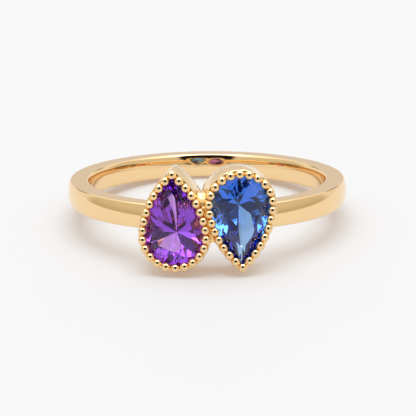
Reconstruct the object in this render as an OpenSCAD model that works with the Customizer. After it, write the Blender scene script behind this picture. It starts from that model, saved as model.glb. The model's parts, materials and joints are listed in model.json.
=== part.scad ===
// Ring with two pear stones side by side, one tip up and one tip down, in beaded gold settings.
// The ring lies on its side on a flat surface, as it rests by itself: on the lower ends of
// both settings and on the far lower edge of the band.
// Millimetres, +Z up, the stones face -Y. The origin is on the surface, under the middle of the ring.

/* [Band] */
// Inside diameter of the band
finger_d = 16.5; // [15.5:0.1:18]
// Width of the band along the finger
band_w = 1.7; // [1.5:0.05:2]
// Thickness of the band at its flat sides
band_t = 1.37; // [1.3:0.01:1.5]
// Rise of the domed outside above the flat sides
dome_h = 0.18; // [0.12:0.01:0.24]
// Radius of the rounded edges
edge_r = 0.12; // [0.06:0.01:0.15]

/* [Stones] */
// Width of a stone across its round end
stone_w = 4; // [3.8:0.1:4.2]
// Length of a stone from its round end to its tip
stone_l = 6; // [5.6:0.1:6.4]
// Turn of the outline at which the round end runs into a long side
side_a = 6.5; // [4:0.5:9]
// Height of the crown from the girdle to the table
crown_h = 0.55; // [0.45:0.05:0.6]
// Thickness of the girdle
girdle_h = 0.1; // [0.06:0.01:0.12]
// Depth of the pavilion from the girdle to the culet
pavilion_h = 1.7; // [1.5:0.05:1.75]
// Size of the table as a share of the outline
table_k = 0.6; // [0.5:0.01:0.65]

/* [Settings] */
// Distance from the finger axis to the plane of the beads
head_y = 10.43; // [10.4:0.01:10.6]
// Distance from the middle of the ring to the middle of each setting
head_x = 2.24; // [2.2:0.01:2.3]
// Angle by which each setting faces outwards
splay_a = 7; // [5:0.5:9]
// Angle by which both pears lean in the plane of the settings
lean_a = 1.5; // [0:0.5:3]
// Width of the step that carries the girdle of a stone
seat_w = 0.3; // [0.25:0.01:0.35]
// Clearance between the backs of the settings and the finger hole
back_gap = 0.15; // [0.1:0.01:0.3]
// Clearance between a stone and the gold
stone_gap = 0.02; // [0.02:0.005:0.03]

/* [Bead edge] */
// Number of beads round each setting
bead_n = 26; // [24:2:26]
// Radius of a bead
bead_r = 0.27; // [0.25:0.005:0.275]
// Distance from the edge of a stone out to the middle of the beads
bead_out = 0.145; // [0.13:0.005:0.15]
// Width of the smooth rim outside the middle of the beads
rim_out = 0.29; // [0.28:0.01:0.32]
// Height of the middle of the beads above the rim
bead_up = 0.06; // [0.03:0.01:0.08]

/* [Hidden] */
$fn = 96;
gold = [0.87, 0.69, 0.42];
purple = [0.45, 0.18, 0.72];
blue = [0.12, 0.28, 0.68];
// Length of a cut that goes all the way through
through = 30;
// How far two arcs that run into each other overlap, so that they cross and don't only touch
lap = 0.003;

// The band
finger_r = finger_d / 2;
flat_r = finger_r + band_t;
crest_r = flat_r + dome_h;
dome_r = ((band_w / 2) ^ 2 + dome_h ^ 2) / (2 * dome_h);
dome_x = crest_r - dome_r;
corner_z = band_w / 2 - edge_r;
corner_x = dome_x + sqrt((dome_r - edge_r) ^ 2 - corner_z ^ 2);
dome_edge_z = corner_z * dome_r / (dome_r - edge_r);

// The pear outline: a round end about the origin, two long side arcs and a tip on +Y
round_r = stone_w / 2;
tip_y = stone_l - round_r;
side_r = (round_r ^ 2 + tip_y ^ 2 - 2 * tip_y * round_r * sin(side_a))
    / (2 * (round_r - tip_y * sin(side_a)));
side_x = (side_r - round_r) * cos(side_a);
side_y = -(side_r - round_r) * sin(side_a);

// Where the pointed tip lies on the outline moved outwards by out
function tip_at(out) = side_y + sqrt((side_r + out) ^ 2 - side_x ^ 2);

// Direction of the outline's normal at that tip
function tip_normal(out) = acos(side_x / (side_r + out));

// The point of the outline moved outwards by out, where its normal points along angle a
function outline_at(a, out = 0) =
    a > 90 ? mirror_x(outline_at(180 - a, out)) :
    a > tip_normal(out) ? [0, tip_at(out)] :
    a > side_a ? [-side_x, side_y] + (side_r + out) * [cos(a), sin(a)] :
    (round_r + out) * [cos(a), sin(a)];

function mirror_x(p) = [-p.x, p.y];

// The point at distance s from the tip along the right half of the outline moved outwards by out
function outline_along(s, out) =
    let (side_run = (side_r + out) * (tip_normal(out) - side_a) * PI / 180)
    s < side_run
        ? outline_at(tip_normal(out) - s / (side_r + out) * 180 / PI - 1e-9, out)
        : outline_at(side_a - (s - side_run) / (round_r + out) * 180 / PI, out);

function half_outline(out) =
    ((side_r + out) * (tip_normal(out) - side_a) + (round_r + out) * (side_a + 90)) * PI / 180;

// The beads, evenly spaced from the tip
bead_step = 2 * half_outline(bead_out) / bead_n;
beads = [
    for (i = [0:bead_n - 1])
        i <= bead_n / 2
            ? outline_along(i * bead_step, bead_out)
            : mirror_x(outline_along((bead_n - i) * bead_step, bead_out))
];

// The cut of the stones: where table and culet lie, and how far the star and lower facets reach
table_y = 1;
culet_y = 0.3;
star_k = 0.5;
lower_k = 0.25;
// Normals of the eight main facets, and of the girdle corners between them
main_a = [-90, -42, 6, 33, 90, 147, 174, 222];
half_a = [-66, -18, 20, 41, 139, 160, 198, 246];
// Corners of the facets: on the girdle, under the table and above the culet
mains = [for (a = main_a) outline_at(a)];
ends = [for (i = [0:7]) crossing(main_a[i], i < 7 ? main_a[i + 1] : main_a[0] + 360)];
edge = [for (i = [0:7], p = [mains[i], outline_at(half_a[i])]) p];
star_z = star_k * crown_h;
stars = drawn_in(ends, table_y, 1 - star_k * (1 - table_k), star_z);
lower_z = -girdle_h - (1 - lower_k) * pavilion_h;
lowers = drawn_in(ends, culet_y, lower_k, lower_z);

// Where the tangents of the outline at two normals cross
function crossing(a, b) =
    let (p = outline_at(a), q = outline_at(b))
    let (c = p.x * cos(a) + p.y * sin(a), d = q.x * cos(b) + q.y * sin(b), s = sin(b - a))
    [(c * sin(b) - d * sin(a)) / s, (d * cos(a) - c * cos(b)) / s];

// Points drawn in towards a centre by the share k, at height z
function drawn_in(points, centre_y, k, z) =
    [for (p = points) [k * p.x, centre_y + k * (p.y - centre_y), z]];

// Slope of the steepest facet between the girdle and the given corners, which lie h above or below it
function steepest(corners, h) = max([
    for (i = [0:15])
        let (p = edge[i], side = edge[(i + 1) % 16] - p, c = corners[floor(i / 2)])
        h * norm(side) / abs(cross(side, [c.x, c.y] - p))
]);

crown_slope = steepest(stars, star_z);
pavilion_slope = steepest(lowers, -girdle_h - lower_z);

// Sizes of a setting, with heights from the plane of the beads
wall_out = bead_out + rim_out;
middle_y = (tip_at(bead_out) - round_r - bead_out) / 2;
setting_half = (tip_at(bead_out) + round_r + bead_out) / 2 + rim_out;
girdle_z = bead_out * crown_slope - (bead_r + stone_gap) * sqrt(1 + crown_slope ^ 2);
seat_z = girdle_z - girdle_h - stone_gap - seat_w * pavilion_slope;
back_r = finger_r + back_gap;
wall_h = 4;

// How the ring rests: a plane under the settings' back edges and the band's far edge
rest_y = sqrt(back_r ^ 2 - head_x ^ 2);
rest_rise = setting_half - corner_z;
rest_run = corner_x + rest_y;
rest_a = atan2(rest_rise, rest_run) - asin(edge_r / norm([rest_rise, rest_run]));
rest_z = edge_r + corner_z * cos(rest_a) + corner_x * sin(rest_a);
front_y = max([for (p = beads, side = [-1, 1]) bead_front(p, side)]) + bead_r;
far_y = dome_x * cos(rest_a) + dome_r;

// How far forward a bead's middle lies once the ring rests
function bead_front(p, side) =
    let (a = lean_a + (side > 0 ? 180 : 0), q = p - [0, middle_y])
    let (x = q.x * cos(a) - q.y * sin(a), z = q.x * sin(a) + q.y * cos(a))
    (head_y - side * x * sin(splay_a)) * cos(rest_a) - z * sin(rest_a);

module resting() {
    translate([0, (front_y - far_y) / 2, rest_z])
        rotate([-rest_a, 0, 0])
            children();
}

// A setting's own frame has x across, y towards the tip and z out of the ring. side is -1 or 1
module in_setting(side) {
    translate([side * head_x, -head_y, 0])
        rotate([90, 0, side * splay_a])
            rotate([0, 0, lean_a + (side > 0 ? 180 : 0)])
                translate([0, -middle_y, 0])
                    children();
}

// The pear outline moved outwards by out, with a pointed tip
module pear(out) {
    low = (round_r + out) * sin(side_a);
    circle(round_r + out + lap);
    intersection() {
        translate([-side_x, side_y])
            circle(side_r + out);
        translate([side_x, side_y])
            circle(side_r + out);
        translate([-stone_w, low])
            square([2 * stone_w, 2 * stone_l]);
    }
}

// The outside of a setting, whose tip is rounded about the bead at the tip
module wall_outline() {
    bead_tip = tip_at(bead_out);
    intersection() {
        pear(wall_out);
        translate([-stone_w, -stone_w])
            square([2 * stone_w, stone_w + bead_tip + rim_out * sin(tip_normal(bead_out))]);
    }
    translate([0, bead_tip])
        circle(rim_out + lap);
}

// Cross section of the band, the finger axis on Y
module band_section() {
    translate([finger_r, -corner_z])
        square([corner_x - finger_r, 2 * corner_z]);
    translate([finger_r + edge_r, -band_w / 2])
        square([corner_x - finger_r - edge_r, band_w]);
    intersection() {
        translate([dome_x, 0])
            circle(dome_r);
        translate([finger_r, -dome_edge_z])
            square([2 * band_t, 2 * dome_edge_z]);
    }
    for (end = [-1, 1]) {
        translate([corner_x, end * corner_z])
            circle(edge_r);
        translate([finger_r + edge_r, end * corner_z])
            circle(edge_r);
    }
}

module band() {
    rotate_extrude()
        band_section();
}

// Both cups, hollowed at the back by the curve of the finger
module walls() {
    difference() {
        for (side = [-1, 1])
            in_setting(side)
                translate([0, 0, -wall_h])
                    linear_extrude(wall_h - bead_up)
                        wall_outline();
        cylinder(r = back_r, h = through, center = true);
    }
}

// Room for a stone: a pocket down to the seat, and an opening behind it
module stone_room() {
    translate([0, 0, seat_z])
        linear_extrude(through)
            pear(stone_gap);
    translate([0, 0, -wall_h])
        linear_extrude(through)
            pear(-seat_w);
}

module bead_row() {
    for (p = beads)
        translate([p.x, p.y, 0])
            sphere(bead_r);
}

module gold_mount() {
    color(gold)
        resting() {
            difference() {
                union() {
                    band();
                    walls();
                }
                for (side = [-1, 1])
                    in_setting(side)
                        stone_room();
            }
            for (side = [-1, 1])
                in_setting(side)
                    bead_row();
        }
}

// A pear brilliant: table, 8 star, 8 main and 16 upper facets, girdle, 16 lower and 8 pavilion facets
module brilliant() {
    points = concat(
        drawn_in(mains, table_y, table_k, crown_h),
        stars,
        [for (p = edge) [p.x, p.y, 0]],
        [for (p = edge) [p.x, p.y, -girdle_h]],
        lowers,
        [[0, culet_y, -girdle_h - pavilion_h]]
    );
    table = 0;
    star = 8;
    top = 16;
    bottom = 32;
    lower = 48;
    culet = 56;
    next = function (i, n) (i + 1) % n;
    faces = concat(
        [[for (i = [7:-1:0]) table + i]],
        [for (i = [0:7]) [table + i, table + next(i, 8), star + i]],
        [for (i = [0:7]) [table + i, star + i, top + 2 * i, star + (i + 7) % 8]],
        [for (i = [0:7]) [star + i, top + 2 * i + 1, top + 2 * i]],
        [for (i = [0:7]) [star + i, top + next(2 * i + 1, 16), top + 2 * i + 1]],
        [for (i = [0:15]) [top + i, top + next(i, 16), bottom + next(i, 16), bottom + i]],
        [for (i = [0:7]) [lower + i, bottom + 2 * i, bottom + 2 * i + 1]],
        [for (i = [0:7]) [lower + i, bottom + 2 * i + 1, bottom + next(2 * i + 1, 16)]],
        [for (i = [0:7]) [culet, lower + (i + 7) % 8, bottom + 2 * i, lower + i]]
    );
    polyhedron(points, faces);
}

module stone(side) {
    resting()
        in_setting(side)
            translate([0, 0, girdle_z])
                brilliant();
}

module amethyst() {
    color(purple)
        stone(-1);
}

module sapphire() {
    color(blue)
        stone(1);
}

gold_mount();
amethyst();
sapphire();
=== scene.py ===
import json
import logging
import math
from abc import ABC, abstractmethod
from dataclasses import dataclass, field
from enum import Enum
from typing import Any, ClassVar

import bmesh
import bpy
import numpy as np
from mathutils import Euler, Matrix, Vector


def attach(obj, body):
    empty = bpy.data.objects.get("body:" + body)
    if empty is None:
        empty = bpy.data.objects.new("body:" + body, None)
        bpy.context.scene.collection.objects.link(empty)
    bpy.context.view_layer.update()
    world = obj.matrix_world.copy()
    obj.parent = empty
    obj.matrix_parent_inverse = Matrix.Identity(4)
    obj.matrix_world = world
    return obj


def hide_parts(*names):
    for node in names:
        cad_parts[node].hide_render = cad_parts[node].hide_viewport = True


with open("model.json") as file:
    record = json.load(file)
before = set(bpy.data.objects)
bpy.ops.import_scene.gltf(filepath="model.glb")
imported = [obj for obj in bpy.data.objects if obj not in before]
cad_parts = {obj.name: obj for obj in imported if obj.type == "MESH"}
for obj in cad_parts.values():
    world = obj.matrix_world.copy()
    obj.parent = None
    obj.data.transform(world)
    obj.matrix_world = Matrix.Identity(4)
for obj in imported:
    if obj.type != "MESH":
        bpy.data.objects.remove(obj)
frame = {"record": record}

LOG = logging.getLogger("birthstone_ring")
MM = 0.001
RIGHT_ANGLE = 90.0
FINGER_HOLE = next(m for m in frame["record"]["mounts"] if m["name"] == "finger_hole")

Point2 = tuple[float, float]
Colour = tuple[float, float, float]
OpaqueColour = tuple[float, float, float, float]
Stops = tuple[tuple[float, Colour], ...]
Vert = bmesh.types.BMVert
Mesh = bpy.types.Mesh
Object = bpy.types.Object
Material = bpy.types.Material
Node = bpy.types.Node
Socket = bpy.types.NodeSocket
Tree = bpy.types.NodeTree


class Side(Enum):
    """Which of the two settings a piece belongs to, as the photograph shows them."""

    LEFT = -1
    RIGHT = 1


class Slot(Enum):
    """The record's material slots."""

    GOLD = "gold"
    PURPLE = "purple_stone"
    BLUE = "blue_stone"


# Shapes that the pieces share, in millimetres. Names in _a are angles in degrees, those in _k shares.


@dataclass(frozen=True)
class PearOutline:
    """The pear that stone, seat, beads and rim follow: a round end, two long sides and a tip on +Y.

    A place on it is given by the direction of its normal, from -90 degrees at the round end to 90
    at the tip. The beads' middles lie bead_out beyond the stone's edge.
    """

    round_r: float = 2.0
    tip_y: float = 4.0
    side_a: float = 6.5
    bead_out: float = 0.125
    hair_a: float = 1e-9

    @property
    def side_r(self) -> float:
        """Works out a long side, which leaves the round end smoothly and ends at the tip.

        Returns:
            The side's radius.
        """
        lean = math.sin(math.radians(self.side_a))
        top = self.round_r**2 + self.tip_y**2 - 2 * self.tip_y * self.round_r * lean
        return top / (2 * (self.round_r - self.tip_y * lean))

    @property
    def side_x(self) -> float:
        """How far across the middle of a long side's arc lies."""
        return (self.side_r - self.round_r) * math.cos(math.radians(self.side_a))

    @property
    def side_y(self) -> float:
        """How far along the middle of a long side's arc lies."""
        return -(self.side_r - self.round_r) * math.sin(math.radians(self.side_a))

    def tip_at(self, out: float) -> float:
        """Where the pointed tip lies on the outline moved outwards by out."""
        return self.side_y + math.sqrt((self.side_r + out) ** 2 - self.side_x**2)

    def tip_normal(self, out: float) -> float:
        """Direction in degrees of the outline's normal at that tip."""
        return math.degrees(math.acos(self.side_x / (self.side_r + out)))

    def at(self, angle: float, out: float = 0.0) -> Point2:
        """Gives the outline's point for one direction of its normal.

        Args:
            angle: direction of the normal in degrees.
            out: how far the outline is moved outwards.

        Returns:
            The point across and along the pear.
        """
        if angle > 90:
            x, y = self.at(180 - angle, out)
            return -x, y
        if angle > self.tip_normal(out):
            return 0.0, self.tip_at(out)
        turn = math.radians(angle)
        if angle > self.side_a:
            reach = self.side_r + out
            return -self.side_x + reach * math.cos(turn), self.side_y + reach * math.sin(turn)
        return (self.round_r + out) * math.cos(turn), (self.round_r + out) * math.sin(turn)

    def rounded_at(self, angle: float, out: float) -> Point2:
        """Gives the point of an outline outside the beads, whose tip is rounded about the tip's bead.

        Args:
            angle: direction of the normal in degrees.
            out: how far the outline is moved outwards, at least to the middle of the beads.

        Returns:
            The point across and along the pear.
        """
        edge = self.tip_normal(self.bead_out)
        if edge < angle < 180 - edge:
            turn = math.radians(angle)
            reach = out - self.bead_out
            return reach * math.cos(turn), self.tip_at(self.bead_out) + reach * math.sin(turn)
        return self.at(angle, out)

    def side_run(self, out: float) -> float:
        """Length of one long side on the outline moved outwards by out."""
        return (self.side_r + out) * math.radians(self.tip_normal(out) - self.side_a)

    def half_length(self, out: float) -> float:
        """Length of half the outline moved outwards by out."""
        return self.side_run(out) + (self.round_r + out) * math.radians(self.side_a + 90)

    def angle_along(self, s: float, out: float) -> float:
        """Gives the normal's direction at a distance from the tip, down the right half.

        Args:
            s: distance from the tip along the outline.
            out: how far the outline is moved outwards.

        Returns:
            The direction of the normal in degrees, a hair short of the tip's own.
        """
        side_run = self.side_run(out)
        if s < side_run:
            return self.tip_normal(out) - math.degrees(s / (self.side_r + out)) - self.hair_a
        return self.side_a - math.degrees((s - side_run) / (self.round_r + out))

    def normals_round(self, pitch: float, fan: int) -> list[float]:
        """Lists the directions of the normal once round the pear, closely spaced.

        Args:
            pitch: distance between two neighbours along the sides.
            fan: number of steps round half the tip.

        Returns:
            Directions in degrees, from the tip down the right side and up the left one.
        """
        edge = self.tip_normal(self.bead_out)
        half = self.half_length(self.bead_out)
        steps = math.ceil(half / pitch)
        right = [90 - (90 - edge) * i / fan for i in range(fan)]
        right += [self.angle_along(half * i / steps, self.bead_out) for i in range(steps)]
        return right + [-90.0] + [180 - a for a in reversed(right[1:])]


@dataclass(frozen=True)
class Placement:
    """How the settings sit on the band, and how the whole ring rests on the floor.

    The middle of a setting is the middle of the line of beads on its solid, which lies bead_line
    beyond the stone's edge.
    """

    pear: PearOutline = PearOutline()
    finger_r: float = FINGER_HOLE["dims"]["r_mm"]
    back_gap: float = 0.15
    head_y: float = 10.43
    head_x: float = 2.24
    splay_a: float = 7.0
    lean_a: float = 1.5
    seat_w: float = 0.3
    bead_line: float = 0.145

    @property
    def rest(self) -> Vector:
        """Where the middle of the finger hole lies in the row's frame, in millimetres."""
        return Vector(FINGER_HOLE["pos_m"]) / MM

    def ring(self) -> Matrix:
        """Matrix from the ring's own frame, finger axis on Z, to the row's frame, in millimetres."""
        _, back, up = FINGER_HOLE["axis"]
        return Matrix.Translation(self.rest) @ Matrix.Rotation(-math.atan2(back, up), 4, "X")

    def setting_in_ring(self, side: Side) -> Matrix:
        """Matrix from a setting's frame, tip on +Y and outwards on +Z, to the ring's own frame.

        Args:
            side: which setting.

        Returns:
            The 4 by 4 matrix, in millimetres.
        """
        lean = self.lean_a + (180 if side is Side.RIGHT else 0)
        middle = (self.pear.tip_at(self.bead_line) - self.pear.round_r - self.bead_line) / 2
        return (
            Matrix.Translation((side.value * self.head_x, -self.head_y, 0))
            @ Matrix.Rotation(math.radians(side.value * self.splay_a), 4, "Z")
            @ Matrix.Rotation(math.radians(90), 4, "X")
            @ Matrix.Rotation(math.radians(lean), 4, "Z")
            @ Matrix.Translation((0, -middle, 0))
        )

    def setting(self, side: Side) -> Matrix:
        """Matrix from a setting's frame to the row's frame, in millimetres."""
        return self.ring() @ self.setting_in_ring(side)

    def back_height(self, side: Side, x: float, y: float) -> float:
        """Finds where a line square to a setting meets the curve that the backs of the settings follow.

        Args:
            side: which setting.
            x: place across the setting.
            y: place along the setting.

        Returns:
            The height in the setting's frame, which is negative.
        """
        turned = self.setting_in_ring(side)
        start = turned @ Vector((x, y, 0))
        line = turned.to_3x3() @ Vector((0, 0, 1))
        a = line.x**2 + line.y**2
        b = start.x * line.x + start.y * line.y
        c = start.x**2 + start.y**2 - (self.finger_r + self.back_gap) ** 2
        return (-b + math.sqrt(b * b - a * c)) / a


# Nodes


@dataclass(frozen=True)
class Wiring:
    """A node tree under work, with short ways to add what the finishes, the beads and the tent need."""

    tree: Tree

    def feed(self, node: Node, inputs: dict[str | int, Any]) -> None:
        """Links or sets a node's inputs.

        Args:
            node: the node.
            inputs: what each input, by name or number, is linked from or set to.
        """
        for key, value in inputs.items():
            if isinstance(value, Socket):
                self.tree.links.new(value, node.inputs[key])
            else:
                node.inputs[key].default_value = value

    def add(self, kind: str, inputs: dict[str | int, Any], **options: Any) -> Node:
        """Adds a node.

        Args:
            kind: its type.
            inputs: what each input, by name or number, is linked from or set to.
            options: its settings, which are made before its inputs.

        Returns:
            The node.
        """
        node = self.tree.nodes.new(kind)
        for name, value in options.items():
            setattr(node, name, value)
        self.feed(node, inputs)
        return node

    def reckon(self, operation: str, *values: Socket | float) -> Socket:
        """Adds one step of arithmetic and gives its result."""
        return self.add("ShaderNodeMath", dict(enumerate(values)), operation=operation).outputs["Value"]

    def blend(self, share: Socket, first: Socket | OpaqueColour, second: Socket | OpaqueColour) -> Socket:
        """Blends two colours; share is how much of the second one shows."""
        inputs = {"Factor": share, "A": first, "B": second}
        return self.add("ShaderNodeMix", inputs, data_type="RGBA").outputs["Result"]

    def noise(self, scale: float, detail: float) -> Socket:
        """Adds a noise that stays with the piece.

        Args:
            scale: how fine it is, in waves a metre.
            detail: how many finer waves lie on it.

        Returns:
            The socket with its value, about 0.5 on average.
        """
        place = self.add("ShaderNodeTexCoord", {}).outputs["Object"]
        inputs = {"Vector": place, "Scale": scale, "Detail": detail}
        return self.add("ShaderNodeTexNoise", inputs).outputs["Fac"]

    def ripples(self, height: Socket, strength: float, depth: float = 0.02) -> Socket:
        """Gives the normal of a surface that a noise makes uneven, to a full depth in millimetres."""
        inputs = {"Height": height, "Strength": strength, "Distance": depth * MM}
        return self.add("ShaderNodeBump", inputs).outputs["Normal"]

    def step(self, value: Socket, low: float, high: float) -> Socket:
        """Makes a soft step from 0 at low to 1 at high."""
        inputs = {"Value": value, "From Min": low, "From Max": high}
        return self.add("ShaderNodeMapRange", inputs, interpolation_type="SMOOTHSTEP").outputs["Result"]

    def between(self, value: Socket, ends: Point2, soft: float) -> Socket:
        """Makes a mask between two ends.

        Args:
            value: what is masked by.
            ends: where the mask begins and ends.
            soft: how wide each of its soft edges is.

        Returns:
            The socket with the mask.
        """
        first = self.step(value, ends[0] - soft / 2, ends[0] + soft / 2)
        last = self.step(value, ends[1] + soft / 2, ends[1] - soft / 2)
        return self.reckon("MULTIPLY", first, last)

    def disc(self, place: Socket, towards: Vector, radius: float, soft: float) -> Socket:
        """Makes a round mask in one direction.

        Args:
            place: the direction looked in.
            towards: the direction of the disc's middle.
            radius: its angular radius in degrees.
            soft: how wide its soft edge is in degrees.

        Returns:
            The socket with the mask.
        """
        facing = self.add("ShaderNodeVectorMath", {0: place, 1: towards}, operation="DOT_PRODUCT")
        low, high = (math.cos(math.radians(radius + edge)) for edge in (soft / 2, -soft / 2))
        return self.step(facing.outputs["Value"], low, high)

    def ramp(self, stops: Stops, height: Socket) -> Socket:
        """Makes a ramp of colours.

        Args:
            stops: heights in degrees and colours.
            height: height over the horizon, as a share of a right angle.

        Returns:
            The socket with the colour.
        """
        node = self.add("ShaderNodeValToRGB", {"Fac": height})
        elements = node.color_ramp.elements
        for element, (at, colour) in zip(elements, (stops[0], stops[-1])):
            element.position = at / RIGHT_ANGLE
            element.color = opaque(colour)
        for at, colour in stops[1:-1]:
            elements.new(at / RIGHT_ANGLE).color = opaque(colour)
        return node.outputs["Color"]


def opaque(colour: Colour) -> OpaqueColour:
    """The colour with the fourth number that a colour socket takes."""
    return (*colour, 1.0)


# Finishes


def new_material(name: str) -> tuple[Material, Wiring, Node]:
    """Makes a node material with one Principled shader wired to its output.

    Args:
        name: the material's name.

    Returns:
        The material, the wiring of its nodes and the shader.
    """
    material = bpy.data.materials.new(name)
    material.use_nodes = True
    return material, Wiring(material.node_tree), material.node_tree.nodes["Principled BSDF"]


@dataclass(frozen=True)
class GoldFinish:
    """Yellow gold, with the ripple and haze that its making leaves: faint where it is hand polished.

    The haze is a finer noise, which also blends the gold's colour into that of its rubbed places.
    """

    name: str = "polished_gold"
    colour: Colour = (0.94, 0.672, 0.355)
    rubbed: Colour = (0.955, 0.70, 0.385)
    roughness: float = 0.07
    haze: float = 0.05
    haze_finer: float = 3.1
    haze_detail: float = 4.0
    ripple: float = 0.035
    ripple_scale: float = 900.0
    ripple_detail: float = 1.5

    def material(self) -> Material:
        """Builds the node material.

        Returns:
            The gold material.
        """
        material, wiring, shader = new_material(self.name)
        ripple = wiring.noise(self.ripple_scale, self.ripple_detail)
        haze = wiring.noise(self.ripple_scale * self.haze_finer, self.haze_detail)
        least, most = self.roughness - self.haze / 2, self.roughness + self.haze / 2
        polish = wiring.add("ShaderNodeMapRange", {"Value": haze, "To Min": least, "To Max": most})
        wiring.feed(shader, {
            "Base Color": wiring.blend(haze, opaque(self.colour), opaque(self.rubbed)),
            "Roughness": polish.outputs["Result"],
            "Normal": wiring.ripples(ripple, self.ripple),
            "Metallic": 1.0,
        })
        return material


# The rougher skin of the cast and the soldered gold
CAST_SKIN = {"roughness": 0.12, "haze": 0.1, "ripple": 0.3, "ripple_scale": 5200.0}


@dataclass(frozen=True)
class StoneFinish:
    """A clear cut stone: how strongly it bends light, and how its colour deepens inside."""

    name: str
    surface: Colour
    vein: Colour
    absorbed: Colour
    density: float
    ior: float
    vein_scale: float = 420.0
    vein_detail: float = 2.0

    def material(self) -> Material:
        """Builds the node material.

        Returns:
            The stone's material.
        """
        material, wiring, shader = new_material(self.name)
        veins = wiring.noise(self.vein_scale, self.vein_detail)
        wiring.feed(shader, {
            "Base Color": wiring.blend(veins, opaque(self.surface), opaque(self.vein)),
            "Roughness": 0.0,
            "IOR": self.ior,
            "Transmission Weight": 1.0,
        })
        depth = {"Color": opaque(self.absorbed), "Density": self.density}
        inside = wiring.add("ShaderNodeVolumeAbsorption", depth)
        wiring.feed(wiring.tree.nodes["Material Output"], {"Volume": inside.outputs["Volume"]})
        return material


@dataclass(frozen=True)
class CardFinish:
    """Matt white card on a light table, which fills the shadows from below with a painted warm glow."""

    # Cool, so that the open card still reads neutral white under the warm glow.
    colour: Colour = (0.311, 0.379, 0.429)
    # Painted fill light: a warm glow that lifts and warms the card's shadows, in place of light bounced off
    # the gold.
    glow: Colour = (0.39, 0.28, 0.22)
    roughness: float = 0.75
    gloss: float = 0.1
    grain: float = 0.03
    grain_scale: float = 2500.0
    grain_detail: float = 2.0

    def material(self) -> Material:
        """Builds the node material.

        Returns:
            The card's material.
        """
        material, wiring, shader = new_material("white_card")
        grain = wiring.noise(self.grain_scale, self.grain_detail)
        wiring.feed(shader, {
            "Base Color": opaque(self.colour),
            "Roughness": self.roughness,
            "Specular IOR Level": self.gloss,
            "Normal": wiring.ripples(grain, self.grain),
            # Painted warm fill light, which lifts the shadows on the card.
            "Emission Color": opaque(self.glow),
            "Emission Strength": 1.0,
        })
        return material


# Mesh helpers


def add_object(name: str, mesh: Mesh, material: Material | None = None) -> Object:
    """Puts a mesh into the scene.

    Args:
        name: the object's name.
        mesh: its mesh.
        material: what it is made of, where it stays in the scene.

    Returns:
        The new object.
    """
    if material is not None:
        mesh.materials.clear()
        mesh.materials.append(material)
    made = bpy.data.objects.new(name, mesh)
    bpy.context.scene.collection.objects.link(made)
    return made


def to_mesh(made: bmesh.types.BMesh, name: str) -> Mesh:
    """Ends the work on a mesh.

    Args:
        made: the mesh under work, which is freed.
        name: the finished mesh's name.

    Returns:
        The finished mesh.
    """
    mesh = bpy.data.meshes.new(name)
    made.to_mesh(mesh)
    made.free()
    return mesh


def skin(made: bmesh.types.BMesh, rings: list[list[Vector]], closed: bool) -> list[list[Vert]]:
    """Skins rings of points, each of which closes on itself.

    Args:
        made: the mesh under work.
        rings: the rings in order, each with the same number of points.
        closed: whether the last ring joins the first one.

    Returns:
        The rings' corners.
    """
    verts = [[made.verts.new(p) for p in ring] for ring in rings]
    following = verts[1:] + (verts[:1] if closed else [])
    for lower, upper in zip(verts, following):
        for j in range(len(lower)):
            k = (j + 1) % len(lower)
            made.faces.new((lower[j], lower[k], upper[k], upper[j]))
    return verts


def finish_shading(made: bmesh.types.BMesh, crease_a: float) -> None:
    """Turns the faces outwards and marks which edges stay crisp.

    Args:
        made: the mesh under work.
        crease_a: angle in degrees above which an edge stays crisp.
    """
    bmesh.ops.recalc_face_normals(made, faces=made.faces)
    limit = math.radians(crease_a)
    for face in made.faces:
        face.smooth = True
    for edge in made.edges:
        edge.smooth = edge.is_manifold and edge.calc_face_angle(0.0) < limit


def grid_mesh(name: str, rings: list[list[Vector]], crease_a: float, join: float = 1e-4) -> Mesh:
    """Skins rings of points that close both ways, with soft shading between gentle edges.

    Args:
        name: the mesh's name.
        rings: the rings in order, each with the same number of points.
        crease_a: angle in degrees above which an edge stays crisp.
        join: distance in millimetres under which two points become one.

    Returns:
        The closed mesh, its faces outwards.
    """
    made = bmesh.new()
    skin(made, rings, closed=True)
    bmesh.ops.remove_doubles(made, verts=made.verts, dist=join)
    bare = [edge for edge in made.edges if not edge.link_faces]
    bmesh.ops.delete(made, geom=bare, context="EDGES")
    finish_shading(made, crease_a)
    return to_mesh(made, name)


def arc(centre: Point2, radius: float, start: float, end: float, steps: int) -> list[Point2]:
    """Lists the points of an arc from start to end, in degrees, with both ends."""
    turns = [math.radians(start + (end - start) * i / steps) for i in range(steps + 1)]
    return [(centre[0] + radius * math.cos(t), centre[1] + radius * math.sin(t)) for t in turns]


# The ring's pieces, in millimetres


@dataclass
class Piece(ABC):
    """What every piece of the ring has: its place, its material and a way into the scene.

    Its mesh is made in millimetres, in the ring's own frame unless placed() says otherwise.
    """

    place: Placement
    material: Material

    @property
    @abstractmethod
    def name(self) -> str:
        """The piece's name."""

    @property
    def stands_for(self) -> tuple[str, Slot]:
        """The solid that the piece replaces, and the record's slot that matches it."""
        return "gold_mount", Slot.GOLD

    @property
    def pear(self) -> PearOutline:
        """The outline that both settings follow."""
        return self.place.pear

    @abstractmethod
    def mesh(self) -> Mesh:
        """Makes the piece's mesh."""

    def placed(self) -> Matrix:
        """Matrix from the mesh's frame to the row's frame, in millimetres."""
        return self.place.ring()

    def build(self) -> Object:
        """Builds the piece, dresses it and puts it on the part's one body, in place of its solid.

        Returns:
            The finished piece.
        """
        mesh = self.mesh()
        mesh.transform(Matrix.Scale(MM, 4) @ self.placed())
        piece = add_object(self.name, mesh, self.material)
        node, slot = self.stands_for
        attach(piece, "root")
        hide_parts(node)
        return piece


@dataclass
class SettingPiece(Piece):
    """A piece that is made in the frame of one setting: tip on +Y, outwards on +Z.

    It is called by its side and by what it is.
    """

    side: Side
    what: ClassVar[str]

    @property
    def name(self) -> str:
        """The piece's name, with its side."""
        return f"{self.side.name.lower()}_{self.what}"

    def placed(self) -> Matrix:
        """Matrix from the setting's frame to the row's frame, in millimetres."""
        return self.place.setting(self.side)


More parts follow.
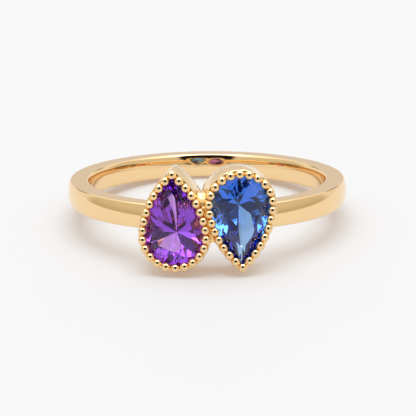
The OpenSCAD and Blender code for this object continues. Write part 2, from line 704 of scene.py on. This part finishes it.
@dataclass
class Band(Piece):
    """The plain band: flat sides, a low dome outside, a softer one inside and small rounded edges.

    The bore bends outwards more and more, by a bore arc, a flare and a lip. Beside each rounded edge
    a flat hem keeps the shading of the flat side flat. The openings behind the stones are cut out by
    cutters that reach from cut_from, behind a setting, to cut_to, in front of it. Turns are in degrees.
    """

    name = "band"
    width: float = 1.7
    thickness: float = 1.366
    dome_h: float = 0.18
    edge_r: float = 0.12
    hem: float = 0.02
    bore_r: float = 4.0
    bore_turn: float = 8.0
    flare_r: float = 0.6
    flare_turn: float = 32.0
    lip_r: float = 0.1
    dome_steps: int = 14
    bend_steps: int = 8
    lip_steps: int = 6
    steps_round: int = 480
    crease_a: float = 30.0
    cut_from: float = -4.0
    cut_to: float = 1.0
    cut_pitch: float = 0.15
    cut_join: float = 1e-5
    clean_join: float = 1e-6

    def outside(self) -> list[Point2]:
        """Draws the upper half of the outside: a low dome, a small rounded edge and a hem.

        Returns:
            The points, from the middle of the dome up.
        """
        radius = ((self.width / 2) ** 2 + self.dome_h**2) / (2 * self.dome_h)
        middle = self.place.finger_r + self.thickness + self.dome_h - radius
        corner_z = self.width / 2 - self.edge_r
        reach = math.sqrt((radius - self.edge_r) ** 2 - corner_z**2)
        turn = math.degrees(math.atan2(corner_z, reach))
        run = arc((middle, 0), radius, 0, turn, self.dome_steps)
        run += arc((middle + reach, corner_z), self.edge_r, turn, 90, self.bend_steps)[1:]
        return [*run, (middle + reach - self.hem, self.width / 2)]

    def inside(self) -> list[Point2]:
        """Draws the upper half of the bore: its arc, its flare, its lip and a hem.

        Returns:
            The points, from the middle of the bore up.
        """
        start = self.place.finger_r
        run = arc((start + self.bore_r, 0), self.bore_r, 180, 180 - self.bore_turn, self.bend_steps)
        for radius, first, last, steps in (
            (self.flare_r, self.bore_turn, self.flare_turn, self.bend_steps),
            (self.lip_r, self.flare_turn, 90, self.lip_steps),
        ):
            turn = math.radians(first)
            x, z = run[-1]
            centre = (x + radius * math.cos(turn), z - radius * math.sin(turn))
            run += arc(centre, radius, 180 - first, 180 - last, steps)[1:]
        lift = self.width / 2 - run[-1][1]
        run = [(x, z + lift) for x, z in run[1:]]
        return [(start, 0.0), *run, (run[-1][0] + self.hem, self.width / 2)]

    def section(self) -> list[Point2]:
        """Draws the cross section.

        Returns:
            The closed outline's points, out from the finger axis and along it.
        """
        upper = self.outside() + self.inside()[::-1]
        lower = [(x, -z) for x, z in reversed(upper[1:-1])]
        return upper + lower

    def turned(self) -> Mesh:
        """Turns the section round the finger.

        Returns:
            The whole band's mesh.
        """
        section = self.section()
        rings = []
        for i in range(self.steps_round):
            turn = 2 * math.pi * (i + 0.5) / self.steps_round
            rings.append([Vector((x * math.cos(turn), x * math.sin(turn), z)) for x, z in section])
        return grid_mesh("band", rings, self.crease_a)

    def opening(self, side: Side) -> Object:
        """Makes the cutter for the opening behind one stone.

        Args:
            side: which setting.

        Returns:
            The cutter.
        """
        normals = self.pear.normals_round(self.cut_pitch, 1)
        outline = [self.pear.at(a, -self.place.seat_w) for a in normals]
        turned = self.place.setting_in_ring(side)
        heights = (self.cut_from, self.cut_to)
        made = bmesh.new()
        ends = skin(made, [[turned @ Vector((*p, z)) for p in outline] for z in heights], closed=False)
        for end in ends:
            made.faces.new(end)
        bmesh.ops.remove_doubles(made, verts=made.verts, dist=self.cut_join)
        bmesh.ops.recalc_face_normals(made, faces=made.faces)
        return add_object("cutter", to_mesh(made, "cutter"))

    def mesh(self) -> Mesh:
        """Cuts both openings out of the turned band.

        Returns:
            The band with its openings.
        """
        blank = add_object("blank", self.turned())
        cutters = [self.opening(side) for side in Side]
        for cutter in cutters:
            cut = blank.modifiers.new(cutter.name, "BOOLEAN")
            cut.operation = "DIFFERENCE"
            cut.solver = "EXACT"
            cut.object = cutter
        found = blank.evaluated_get(bpy.context.evaluated_depsgraph_get())
        made = bmesh.new()
        made.from_mesh(bpy.data.meshes.new_from_object(found))
        for used in [blank, *cutters]:
            bpy.data.objects.remove(used)
        bmesh.ops.remove_doubles(made, verts=made.verts, dist=self.clean_join)
        finish_shading(made, self.crease_a)
        return to_mesh(made, "band")


@dataclass
class Cup(SettingPiece):
    """One pear-shaped cup: a wall drawn in towards its open back, a rounded rim, a step for the stone.

    The beads' middles stand bead_up over its rim. Its wall draws in at the top too, by a shoulder that
    begins at a share of its height. Its points lie at edge_shares of its rounded back edge and at
    wall_shares of its wall, with a hem under the rim and one on it, to keep both crisp.
    """

    what = "cup"
    rim_out: float = 0.31
    bead_up: float = 0.14
    rim_r: float = 0.07
    back_edge: float = 0.1
    drawn_in: float = 0.02
    shoulder: float = 0.03
    shoulder_from: float = 0.6
    hem: float = 0.02
    stone_gap: float = 0.02
    seat_z: float = -0.74
    edge_shares: tuple[float, ...] = (0.0, 0.5, 1.0)
    wall_shares: tuple[float, ...] = (0.3, 0.6, 0.8, 1.0)
    rim_steps: int = 5
    pitch: float = 0.07
    tip_fan: int = 12
    crease_a: float = 40.0

    @property
    def wall_out(self) -> float:
        """How far the outside of the wall lies beyond the edge of the stone."""
        return self.pear.bead_out + self.rim_out

    def column(self, angle: float) -> list[Vector]:
        """Draws the wall's section at one place on the outline.

        Args:
            angle: direction of the outline's normal there, in degrees.

        Returns:
            The closed section's points in the setting's frame, from the back up the outside.
        """
        outer = self.pear.rounded_at(angle, self.wall_out)
        inner = self.pear.at(angle, -self.place.seat_w)
        back_out, back_in = (self.place.back_height(self.side, *point) for point in (outer, inner))
        top, edge = -self.bead_up, self.back_edge
        behind, rim = self.wall_out - self.drawn_in, self.wall_out - self.shoulder - self.rim_r
        wall: list[Point2] = []
        for share in self.edge_shares:
            lift = edge * (1 - math.cos(share * math.pi / 2))
            wall.append((behind - edge * (1 - math.sin(share * math.pi / 2)), back_out + lift))
        side_top = top - self.rim_r - self.hem
        for share in self.wall_shares:
            bend = max(0.0, share - self.shoulder_from) / (1 - self.shoulder_from)
            out = behind + self.drawn_in * math.sin(share * math.pi / 2) - self.shoulder * bend**2
            wall.append((out, (back_out + edge) * (1 - share) + side_top * share))
        wall += arc((rim, top - self.rim_r), self.rim_r, 0, 90, self.rim_steps)
        wall += [(rim - self.hem, top), (self.pear.bead_out, top)]
        step = [(self.stone_gap, top), (self.stone_gap, self.seat_z), (-self.place.seat_w, self.seat_z)]
        run = [(self.pear.rounded_at(angle, out), z) for out, z in wall]
        run += [(self.pear.at(angle, out), z) for out, z in step]
        return [Vector((*point, z)) for point, z in [*run, (inner, back_in)]]

    def mesh(self) -> Mesh:
        """Skins the wall's sections, all round the pear."""
        rings = [self.column(a) for a in self.pear.normals_round(self.pitch, self.tip_fan)]
        return grid_mesh(self.name, rings, self.crease_a)


@dataclass
class SolderJoint(Piece):
    """The gold that has run in between the two cups: a lumpy cushion across both rims.

    It fills the stretch where the cups stand closer than end_gap, searched for on both sides of the
    middle, and grips both rims. Its face stands proud of them in lumps and falls off towards its sides
    and ends, the more suddenly the larger side_fall and end_fall are. Each row is bowed by a share of
    the gap, hollow. Its upper end climbs in a sweep to the backs of the cups.
    """

    name = "solder_joint"
    cup: Cup
    end_gap: float = 0.36
    sunk: float = 0.02
    proud: float = 0.13
    lump: float = 0.3
    lumps_across: int = 3
    lumps_along: int = 8
    side_fall: int = 4
    end_fall: int = 10
    hollow: float = 0.3
    sweep_r: float = 0.65
    sweep_turn: float = 80.0
    depth: float = 1.5
    grip: float = 0.2
    rows: int = 72
    sweep_rows: int = 24
    columns: int = 24
    crease_a: float = 40.0
    wall_turn: float = 88.0
    wall_steps: int = 800
    search: float = 3.0
    search_steps: int = 1201

    def wall(self) -> tuple[np.ndarray, np.ndarray]:
        """Follows the left cup's right-hand edge.

        Returns:
            Its heights along the finger axis, rising, and how far across it lies at each.
        """
        turned = self.place.setting_in_ring(Side.LEFT)
        normals = np.linspace(-self.wall_turn, self.wall_turn, self.wall_steps)
        flat = [self.pear.rounded_at(a, self.cup.wall_out) for a in normals]
        points = [turned @ Vector((x, y, -self.cup.bead_up)) for x, y in flat]
        heights = np.array([p.z for p in points])
        order = np.argsort(heights)
        return heights[order], np.array([p.x for p in points])[order]

    def front(self, x: float) -> float:
        """Finds how far from the finger axis the rims' tops lie.

        Args:
            x: place across the ring.

        Returns:
            The distance, as a negative y.
        """
        splay = math.radians(self.place.splay_a)
        tilt = abs(x) - self.place.head_x
        return -self.place.head_y + self.cup.bead_up / math.cos(splay) + tilt * math.tan(splay)

    def swell(self, across: float, along: float) -> float:
        """Finds how far the cushion stands up from the rims.

        Args:
            across: place across it, from 0 to 1.
            along: place along it, from 0 to 1.

        Returns:
            The height in millimetres, none at its edges.
        """
        flat = (1 - (2 * across - 1) ** self.side_fall) * (1 - (2 * along - 1) ** self.end_fall)
        turn = 2 * math.pi
        lumps = math.cos(turn * self.lumps_across * across) + math.sin(turn * self.lumps_along * along)
        return self.proud * flat * (1 + self.lump * lumps / 2)

    def run(self, low: float, high: float) -> list[Point2]:
        """Lists the joint's rows from its lower end up, and then back along its sweep.

        Args:
            low: height of its lower end.
            high: height at which its sweep begins.

        Returns:
            Each row's height, and how far behind the rims it lies.
        """
        rows = [(low + (high - low) * i / self.rows, 0.0) for i in range(self.rows + 1)]
        for i in range(1, self.sweep_rows + 1):
            turn = math.radians(self.sweep_turn * i / self.sweep_rows)
            rows.append((high + self.sweep_r * (1 - math.cos(turn)), self.sweep_r * math.sin(turn)))
        return rows

    def row(self, at: float, behind: float, along: float, left: float, right: float) -> list[Vector]:
        """Draws one row: over the front of the joint and back along its hidden side.

        Args:
            at: height of its ends along the finger axis.
            behind: how far behind the rims it lies.
            along: its place along the joint, from 0 to 1.
            left: how far across the left cup's wall lies there.
            right: how far across the right cup's wall lies there.

        Returns:
            The row's points.
        """
        gap = max(right - left, 0.0)
        left, right = min(left, (left + right) / 2), max(right, (left + right) / 2)
        up = 1 if at > 0 else -1
        front, back = [], []
        for j in range(self.columns + 1):
            across = j / self.columns
            x = left - self.grip + (right - left + 2 * self.grip) * across
            z = at - up * self.hollow * gap * (1 - (2 * across - 1) ** 2)
            face = self.front(x) + self.sunk
            front.append(Vector((x, face + behind - self.swell(across, along), z)))
            back.append(Vector((x, face + self.depth, z)))
        return front + back[::-1]

    def mesh(self) -> Mesh:
        """Finds the stretch where the cups stand close, and skins the joint's rows along it.

        Returns:
            The joint's mesh.
        """
        heights, edge = self.wall()
        line = np.linspace(-self.search, self.search, self.search_steps)
        walls = (np.interp(line, heights, edge), -np.interp(-line, heights, edge))
        near = line[walls[1] - walls[0] < self.end_gap]
        run = self.run(near.min(), near.max())
        rings = []
        for i, (at, behind) in enumerate(run):
            left, right = (float(np.interp(at, line, wall)) for wall in walls)
            rings.append(self.row(at, behind, i / (len(run) - 1), left, right))
        joint = bmesh.new()
        rows = skin(joint, rings, closed=False)
        for cap in (rows[0], rows[-1]):
            for j in range(len(cap) // 2 - 1):
                joint.faces.new((cap[j], cap[j + 1], cap[-2 - j], cap[-1 - j]))
        finish_shading(joint, self.crease_a)
        return to_mesh(joint, self.name)


@dataclass
class BeadRow(SettingPiece):
    """The milgrain: evenly spaced gold beads round one setting, made by Geometry Nodes.

    Each is pressed a little flat, and shrunk by chance by up to its unevenness. The two sides differ
    in their seeds.
    """

    what = "beads"
    count: int = 26
    radius: float = 0.307
    flatness: float = 0.88
    unevenness: float = 0.04
    seed: int = 7
    segments: int = 40
    rings: int = 20
    line_steps: int = 400

    def guide(self) -> Object:
        """Makes the closed line that the beads follow, starting at the tip.

        Returns:
            The line as an object.
        """
        out, steps = self.pear.bead_out, self.line_steps
        half = self.pear.half_length(out)
        right = [self.pear.at(self.pear.angle_along(half * i / steps, out), out) for i in range(steps)]
        points = [*right, self.pear.at(-90, out), *((-x, y) for x, y in reversed(right[1:]))]
        edges = [(i, (i + 1) % len(points)) for i in range(len(points))]
        mesh = bpy.data.meshes.new("bead_line")
        mesh.from_pydata([(x, y, 0) for x, y in points], edges, [])
        return add_object("bead_line", mesh)

    def tree(self) -> bpy.types.GeometryNodeTree:
        """Builds the node tree that sets beads along a closed line.

        Returns:
            The tree, with named inputs for the count, sizes, seed and material.
        """
        tree = bpy.data.node_groups.new("bead_row", "GeometryNodeTree")
        sockets = {
            "Line": "Geometry",
            "Count": "Int",
            "Radius": "Float",
            "Flatness": "Float",
            "Unevenness": "Float",
            "Seed": "Int",
            "Material": "Material",
        }
        for label, kind in sockets.items():
            tree.interface.new_socket(label, in_out="INPUT", socket_type=f"NodeSocket{kind}")
        tree.interface.new_socket("Beads", in_out="OUTPUT", socket_type="NodeSocketGeometry")
        wiring = Wiring(tree)
        given = wiring.add("NodeGroupInput", {}).outputs
        curve = wiring.add("GeometryNodeMeshToCurve", {"Mesh": given["Line"]})
        spaced = wiring.add("GeometryNodeResampleCurve", {
            "Curve": curve.outputs["Curve"],
            "Count": given["Count"],
        })
        ball = {"Segments": self.segments, "Rings": self.rings, "Radius": given["Radius"]}
        bead = wiring.add("GeometryNodeMeshUVSphere", ball)
        squash = wiring.add("ShaderNodeCombineXYZ", {"X": 1.0, "Y": 1.0, "Z": given["Flatness"]})
        pressed = wiring.add("GeometryNodeTransform", {
            "Geometry": bead.outputs["Mesh"],
            "Scale": squash.outputs["Vector"],
        })
        # A Random Value node's numbers are its third and fourth input and its second output.
        least = wiring.reckon("SUBTRACT", 1.0, given["Unevenness"])
        sizes = wiring.add("FunctionNodeRandomValue", {2: least, 3: 1.0, "Seed": given["Seed"]})
        placed = wiring.add("GeometryNodeInstanceOnPoints", {
            "Points": spaced.outputs["Curve"],
            "Instance": pressed.outputs["Geometry"],
            "Scale": sizes.outputs[1],
        })
        real = wiring.add("GeometryNodeRealizeInstances", {"Geometry": placed.outputs["Instances"]})
        smooth = wiring.add("GeometryNodeSetShadeSmooth", {"Geometry": real.outputs["Geometry"]})
        dressed = wiring.add("GeometryNodeSetMaterial", {
            "Geometry": smooth.outputs["Geometry"],
            "Material": given["Material"],
        })
        wiring.add("NodeGroupOutput", {"Beads": dressed.outputs["Geometry"]})
        return tree

    def mesh(self) -> Mesh:
        """Sets the beads along the line, and turns them into a plain mesh.

        Returns:
            The beads' mesh.
        """
        guide = self.guide()
        row = guide.modifiers.new("beads", "NODES")
        row.node_group = self.tree()
        wanted = {
            "Count": self.count,
            "Radius": self.radius,
            "Flatness": self.flatness,
            "Unevenness": self.unevenness,
            "Seed": self.seed + self.side.value,
            "Material": self.material,
        }
        for item in row.node_group.interface.items_tree:
            if item.in_out == "INPUT" and item.name in wanted:
                row[item.identifier] = wanted[item.name]
        found = guide.evaluated_get(bpy.context.evaluated_depsgraph_get())
        mesh = bpy.data.meshes.new_from_object(found)
        guide.modifiers.remove(row)
        bpy.data.objects.remove(guide)
        return mesh


@dataclass
class Stone(SettingPiece):
    """A pear brilliant: table, star, main and upper facets, girdle, lower and pavilion facets.

    Shares such as table_k tell how much of the way from a centre to the girdle is left. The lists hold
    the directions in which the main facets and those halfway between them face.
    """

    solid: str
    stone_slot: Slot
    pavilion_h: float
    culet_y: float
    lower_k: float
    table_k: float
    star_k: float
    table_y: float = 1.0
    crown_h: float = 0.55
    girdle_h: float = 0.1
    girdle_z: float = -0.289
    main_a: list[float] = field(default_factory=lambda: [-90, -42, 6, 33, 90, 147, 174, 222])
    half_a: list[float] = field(default_factory=lambda: [-66, -18, 20, 41, 139, 160, 198, 246])

    @property
    def name(self) -> str:
        """The piece's name, after its solid."""
        return f"{self.solid}_cut"

    @property
    def stands_for(self) -> tuple[str, Slot]:
        """The stone's own solid and slot."""
        return self.solid, self.stone_slot

    def edge_at(self, angle: float) -> Point2:
        """The girdle's point whose normal has any direction in degrees."""
        return self.pear.at((angle + 90) % 360 - 90)

    def crossing(self, a: float, b: float) -> Point2:
        """Finds where the outline's tangents at two normals cross.

        Args:
            a: first normal in degrees.
            b: second normal in degrees.

        Returns:
            The crossing point.
        """
        p, q = self.edge_at(a), self.edge_at(b)
        s, t = math.radians(a), math.radians(b)
        c = p[0] * math.cos(s) + p[1] * math.sin(s)
        d = q[0] * math.cos(t) + q[1] * math.sin(t)
        x = c * math.sin(t) - d * math.sin(s)
        y = d * math.cos(s) - c * math.cos(t)
        return x / math.sin(t - s), y / math.sin(t - s)

    @staticmethod
    def drawn_in(points: list[Point2], centre_y: float, share: float, z: float) -> list[Vector]:
        """Draws points in towards centre_y until a share of the way to each is left, and gives them z."""
        return [Vector((share * x, centre_y + share * (y - centre_y), z)) for x, y in points]

    def mesh(self) -> Mesh:
        """Cuts the stone.

        Returns:
            The faceted mesh.
        """
        mains = [self.edge_at(a) for a in self.main_a]
        halves = [self.edge_at(a) for a in self.half_a]
        after = [*self.main_a[1:], self.main_a[0] + 360]
        ends = [self.crossing(a, b) for a, b in zip(self.main_a, after)]
        edge = [p for pair in zip(mains, halves) for p in pair]
        star_share = 1 - self.star_k * (1 - self.table_k)
        lower_z = -self.girdle_h - (1 - self.lower_k) * self.pavilion_h
        made = bmesh.new()

        def put(points: list[Vector]) -> list[Vert]:
            """Adds points, raised to the girdle's height."""
            return [made.verts.new(p + Vector((0, 0, self.girdle_z))) for p in points]

        table = put(self.drawn_in(mains, self.table_y, self.table_k, self.crown_h))
        star = put(self.drawn_in(ends, self.table_y, star_share, self.star_k * self.crown_h))
        top = put([Vector((x, y, 0)) for x, y in edge])
        bottom = put([Vector((x, y, -self.girdle_h)) for x, y in edge])
        lower = put(self.drawn_in(ends, self.culet_y, self.lower_k, lower_z))
        culet = put([Vector((0, self.culet_y, -self.girdle_h - self.pavilion_h))])[0]
        made.faces.new(table)
        for i in range(len(mains)):
            near, half, far = 2 * i, 2 * i + 1, (2 * i + 2) % len(edge)
            for corners in (
                (table[i], table[(i + 1) % len(mains)], star[i]),
                (table[i], star[i], top[near], star[i - 1]),
                (star[i], top[near], top[half]),
                (star[i], top[half], top[far]),
                (lower[i], bottom[near], bottom[half]),
                (lower[i], bottom[half], bottom[far]),
                (culet, lower[i - 1], bottom[near], lower[i]),
                (top[near], top[half], bottom[half], bottom[near]),
                (top[half], top[far], bottom[far], bottom[half]),
            ):
                made.faces.new(corners)
        bmesh.ops.recalc_face_normals(made, faces=made.faces)
        return to_mesh(made, self.name)


# The studio


@dataclass(frozen=True)
class Tent:
    """The pale surroundings: what the polished ring mirrors, by height in degrees over the horizon.

    Its front is warm and dim, its flanks and back are pale, a round lamp hangs overhead and the
    camera's own dark shape stands in front. A low dark strip beside the back draws the band's upper
    edge as a fine line. Bearings are in degrees from the front, radii and the camera's rise are in
    degrees too, and each soft is the width over which an edge fades.
    """

    front: Stops = (
        (0, (0.58, 0.54, 0.43)),
        (8, (0.68, 0.63, 0.52)),
        (16, (0.74, 0.69, 0.60)),
        (30, (0.72, 0.67, 0.59)),
        (40, (0.95, 0.92, 0.87)),
        (50, (1.95, 1.93, 1.90)),
        (70, (1.80, 1.78, 1.75)),
        (90, (1.30, 1.29, 1.27)),
    )
    flank: Stops = (
        (0, (0.90, 0.88, 0.85)),
        (30, (0.97, 0.96, 0.94)),
        (50, (1.20, 1.19, 1.18)),
        (90, (1.30, 1.29, 1.27)),
    )
    back: Stops = (
        (0, (0.70, 0.65, 0.60)),
        (7, (0.78, 0.74, 0.70)),
        (16, (0.92, 0.90, 0.88)),
        (30, (1.10, 1.09, 1.07)),
        (58, (1.10, 1.09, 1.07)),
        (90, (1.30, 1.29, 1.27)),
    )
    front_ends: float = 104.0
    flank_from: float = 120.0
    flank_to: float = 150.0
    back_from: float = 168.0
    lamp: float = 2.6
    lamp_r: float = 24.0
    lamp_soft: float = 8.0
    strip_height: Point2 = (10.0, 24.0)
    strip_bearing: Point2 = (134.0, 158.0)
    strip_light: float = 0.2
    strip_height_soft: float = 5.4
    strip_bearing_soft: float = 8.0
    camera_r: float = 27.0
    camera_soft: float = 6.0
    camera_rise: float = 14.0
    camera_dark: float = 0.985
    stone_fill: float = 0.13
    backdrop: Colour = (0.957, 0.955, 0.955)

    def strip(self, wiring: Wiring, height: Socket, bearing: Socket) -> Socket:
        """Darkens the low strip beside the back.

        Args:
            wiring: where the nodes go.
            height: height over the horizon, as a share of a right angle.
            bearing: angle from the front in degrees.

        Returns:
            The socket with the share of light that is left.
        """
        low, high = (value / RIGHT_ANGLE for value in self.strip_height)
        level = wiring.between(height, (low, high), self.strip_height_soft / RIGHT_ANGLE)
        beside = wiring.between(bearing, self.strip_bearing, self.strip_bearing_soft)
        inside = wiring.reckon("MULTIPLY", level, beside)
        return wiring.reckon("MULTIPLY_ADD", inside, self.strip_light - 1, 1.0)

    def camera_shade(
        self, wiring: Wiring, place: Socket, towards_camera: Vector, in_stone: Socket
    ) -> Socket:
        """Darkens the camera's shape, two discs one above the other, less so as the stones see it.

        Args:
            wiring: where the nodes go.
            place: the direction looked in.
            towards_camera: direction from the ring to the camera.
            in_stone: 1 for light that has passed through a stone, or else 0.

        Returns:
            The socket with the share of light that is left.
        """
        above = towards_camera.copy()
        above.rotate(Euler((-math.radians(self.camera_rise), 0, 0)))
        discs = [
            wiring.disc(place, towards, self.camera_r, self.camera_soft)
            for towards in (towards_camera, above)
        ]
        depth = wiring.reckon("MULTIPLY_ADD", in_stone, self.stone_fill, -self.camera_dark)
        return wiring.reckon("MULTIPLY_ADD", wiring.reckon("MAXIMUM", *discs), depth, 1.0)

    def pitch(self, towards_camera: Vector) -> None:
        """Sets the tent up as the scene's world, with a plain pale backdrop behind it.

        Args:
            towards_camera: direction from the ring to the camera.
        """
        world = bpy.data.worlds.new("tent")
        bpy.context.scene.world = world
        world.use_nodes = True
        wiring = Wiring(world.node_tree)
        place = wiring.add("ShaderNodeTexCoord", {}).outputs["Generated"]
        x, y, z = wiring.add("ShaderNodeSeparateXYZ", {"Vector": place}).outputs
        height = wiring.reckon("MULTIPLY", wiring.reckon("ARCSINE", z), 2 / math.pi)
        bearing = wiring.reckon("ABSOLUTE", wiring.reckon("ARCTAN2", x, wiring.reckon("MULTIPLY", y, -1.0)))
        bearing = wiring.reckon("MULTIPLY", bearing, math.degrees(1))
        front, flank, back = (wiring.ramp(s, height) for s in (self.front, self.flank, self.back))
        aside = wiring.step(bearing, self.front_ends, self.flank_from)
        behind = wiring.step(bearing, self.flank_to, self.back_from)
        lamp = wiring.disc(place, Vector((0, 0, 1)), self.lamp_r, self.lamp_soft)
        path = wiring.add("ShaderNodeLightPath", {}).outputs
        glow = wiring.reckon("MULTIPLY_ADD", lamp, self.lamp, 1.0)
        glow = wiring.reckon("MULTIPLY", glow, self.strip(wiring, height, bearing))
        shade = self.camera_shade(wiring, place, towards_camera, path["Is Transmission Ray"])
        lit = world.node_tree.nodes["Background"]
        wiring.feed(lit, {
            "Color": wiring.blend(behind, wiring.blend(aside, front, flank), back),
            "Strength": wiring.reckon("MULTIPLY", glow, shade),
        })
        plain = wiring.add("ShaderNodeBackground", {"Color": opaque(self.backdrop)})
        views = {0: path["Is Camera Ray"], 1: lit.outputs["Background"], 2: plain.outputs["Background"]}
        shown = wiring.add("ShaderNodeMixShader", views)
        wiring.feed(world.node_tree.nodes["World Output"], {"Surface": shown.outputs["Shader"]})


@dataclass
class Studio:
    """A white card floor in a pale tent, and a camera at the photograph's place.

    Distances are in millimetres, apart from clip_m, and angles in degrees. The focal length and the
    picture's centre are in pixels of the photograph. light_steps is how often light may bounce about
    inside the stones.
    """

    place: Placement
    distance: float = 152.6
    focal_px: float = 2163.0
    picture_px: float = 416.0
    sensor: float = 36.0
    clip_m: Point2 = (0.01, 10.0)
    look_down: float = 20.3766
    roll: float = 0.49
    centre_px: Point2 = (-0.9, 19.25)
    card_r: float = 48.0
    card_back: float = 600.0
    card_segments: int = 96
    light_steps: int = 24
    card: CardFinish = CardFinish()
    tent: Tent = Tent()

    def set_view(self) -> None:
        """Shows colours as they are, and lets light bounce about inside the stones."""
        scene = bpy.context.scene
        scene.view_settings.view_transform = "Standard"
        scene.cycles.max_bounces = self.light_steps
        scene.cycles.glossy_bounces = self.light_steps
        scene.cycles.transmission_bounces = self.light_steps

    def towards_camera(self) -> Vector:
        """The direction from the ring to the camera."""
        down = math.radians(self.look_down)
        return Vector((0, -math.cos(down), math.sin(down)))

    def set_camera(self) -> None:
        """Sets up the camera, rolled a little and aimed beside the middle of the finger hole."""
        data = bpy.data.cameras.new("camera")
        data.sensor_width = self.sensor
        data.lens = self.focal_px / self.picture_px * self.sensor
        data.clip_start, data.clip_end = self.clip_m
        away = self.towards_camera()
        right = Vector((1, 0, 0))
        up = away.cross(right)
        turn = math.radians(self.roll)
        rolled_right = right * math.cos(turn) - up * math.sin(turn)
        rolled_up = right * math.sin(turn) + up * math.cos(turn)
        across, along = (value / self.focal_px for value in self.centre_px)
        aim = (-away - rolled_right * across - rolled_up * along).normalized()
        side = aim.cross(rolled_up).normalized()
        turned = Matrix((side, side.cross(aim), -aim)).transposed().to_4x4()
        camera = bpy.data.objects.new("camera", data)
        bpy.context.scene.collection.objects.link(camera)
        camera.matrix_world = Matrix.Translation((self.place.rest + away * self.distance) * MM) @ turned
        bpy.context.scene.camera = camera

    def lay_floor(self) -> None:
        """Lays the card that the ring rests on, round in front and long at the back."""
        made = bmesh.new()
        bmesh.ops.create_circle(made, cap_ends=True, segments=self.card_segments, radius=self.card_r * MM)
        for vert in made.verts:
            vert.co.y *= self.card_back / self.card_r if vert.co.y > 0 else 1.0
        floor = add_object("floor", to_mesh(made, "floor"), self.card.material())

    def set_up(self) -> None:
        """Sets up the camera, the floor, the tent and the view."""
        self.set_camera()
        self.lay_floor()
        self.tent.pitch(self.towards_camera())
        self.set_view()


# The whole


@dataclass
class BirthstoneRing:
    """The whole ring, piece by piece."""

    place: Placement = Placement()
    gold: GoldFinish = GoldFinish()
    cast: GoldFinish = GoldFinish("cast_gold", **CAST_SKIN)
    # The solder's deeper orange is painted reflection: it stands in for the deep yellow that light bounced
    # between the two cups' walls gives the hollow where they meet.
    solder: GoldFinish = GoldFinish("solder_gold_painted_bounce", (0.93, 0.62, 0.25), (0.95, 0.66, 0.30), **CAST_SKIN)
    purple: StoneFinish = StoneFinish(
        name="amethyst_cut",
        surface=(0.90, 0.66, 0.97),
        vein=(0.84, 0.56, 0.96),
        absorbed=(0.54, 0.14, 0.85),
        density=450.0,
        ior=1.544,
    )
    blue: StoneFinish = StoneFinish(
        name="sapphire_cut",
        surface=(0.62, 0.82, 0.98),
        vein=(0.52, 0.76, 0.97),
        absorbed=(0.02, 0.43, 0.92),
        density=465.0,
        ior=1.77,
    )

    def pieces(self) -> list[Piece]:
        """Lists every piece of the ring with its material.

        Returns:
            The pieces in the order in which they are built.
        """
        place = self.place
        gold, cast, solder, purple, blue = (
            finish.material() for finish in (self.gold, self.cast, self.solder, self.purple, self.blue)
        )
        left, right = (Cup(place, cast, side) for side in Side)
        purple_cut = {"pavilion_h": 2.0, "culet_y": 0.0, "lower_k": 0.35, "table_k": 0.66, "star_k": 0.6}
        blue_cut = {"pavilion_h": 1.9, "culet_y": 0.15, "lower_k": 0.4, "table_k": 0.6, "star_k": 0.5}
        return [
            Band(place, gold),
            left,
            BeadRow(place, gold, Side.LEFT),
            right,
            BeadRow(place, gold, Side.RIGHT),
            SolderJoint(place, solder, left),
            Stone(place, purple, Side.LEFT, "amethyst", Slot.PURPLE, **purple_cut),
            Stone(place, blue, Side.RIGHT, "sapphire", Slot.BLUE, **blue_cut),
        ]


def main() -> None:
    """Builds the studio and the ring, and reports each piece."""
    logging.basicConfig(level=logging.INFO, format="%(name)s: %(message)s")
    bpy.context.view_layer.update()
    ring = BirthstoneRing()
    Studio(ring.place).set_up()
    for piece in ring.pieces():
        made = piece.build()
        triangles = sum(len(face.vertices) - 2 for face in made.data.polygons)
        LOG.info("%s: %d triangles", made.name, triangles)


if __name__ == "__main__":
    main()
